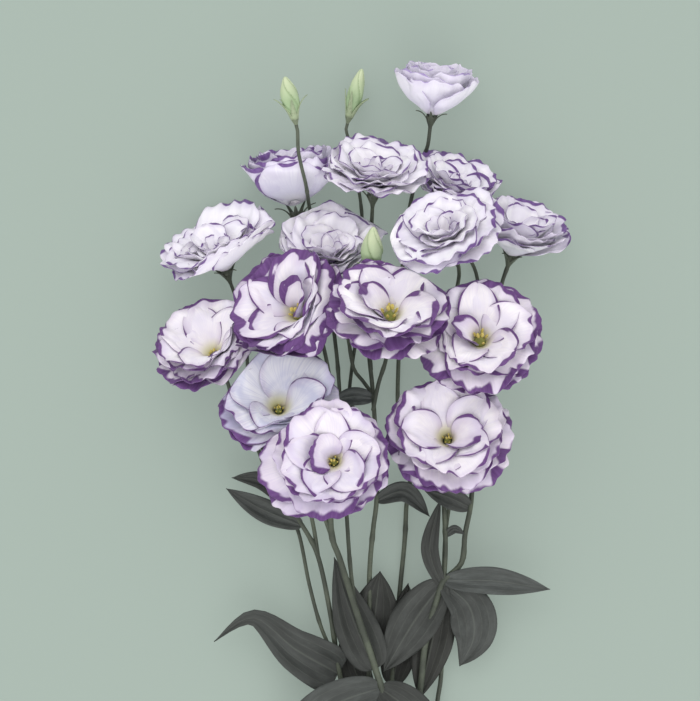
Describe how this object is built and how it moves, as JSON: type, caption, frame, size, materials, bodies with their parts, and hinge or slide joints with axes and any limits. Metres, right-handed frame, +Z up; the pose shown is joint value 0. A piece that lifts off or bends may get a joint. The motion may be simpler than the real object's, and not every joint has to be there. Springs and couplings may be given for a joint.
{
  "type": "lisianthus bunch",
  "caption": "Loose bunch of cut lisianthus lying flat: ruffled double white blooms with purple edges, closed green buds and dull green leafy stems.",
  "frame": {"origin": "on the surface, under the middle of the bunch's box", "axes": "+Y along the stems from the cut ends to the top buds, +Z up from the surface"},
  "size_m": [0.2308, 0.461, 0.0949],
  "materials": {
    "petal": "matte white petal with a faint lilac tint and an uneven purple edge",
    "foliage": "satin grey-green leaf and stem",
    "bud": "satin pale green rolled bud",
    "throat": "matte olive yellow style and stigma"
  },
  "bodies": {
    "root": {"bloom_top": "petal", "bloom_upper_left": "petal", "bloom_upper_mid": "petal", "bloom_upper_right": "petal", "bloom_right_high": "petal", "bloom_far_right": "petal", "bloom_far_left": "petal", "bloom_mid_back": "petal", "bloom_mid_left": "petal", "bloom_mid": "petal", "bloom_mid_right": "petal", "bloom_left_low": "petal", "bloom_low_left": "petal", "bloom_lowest": "petal", "bloom_low_right": "petal", "centre_right_high": "throat", "centre_mid_left": "throat", "centre_mid": "throat", "centre_mid_right": "throat", "centre_left_low": "throat", "centre_low_left": "throat", "centre_lowest": "throat", "centre_low_right": "throat", "bud_left": "bud", "bud_middle": "bud", "bud_low": "bud", "stem_left": "foliage", "stem_centre_left": "foliage", "stem_centre": "foliage", "stem_top": "foliage", "stem_right": "foliage", "stem_right_back": "foliage"}
  },
  "joints": []
}
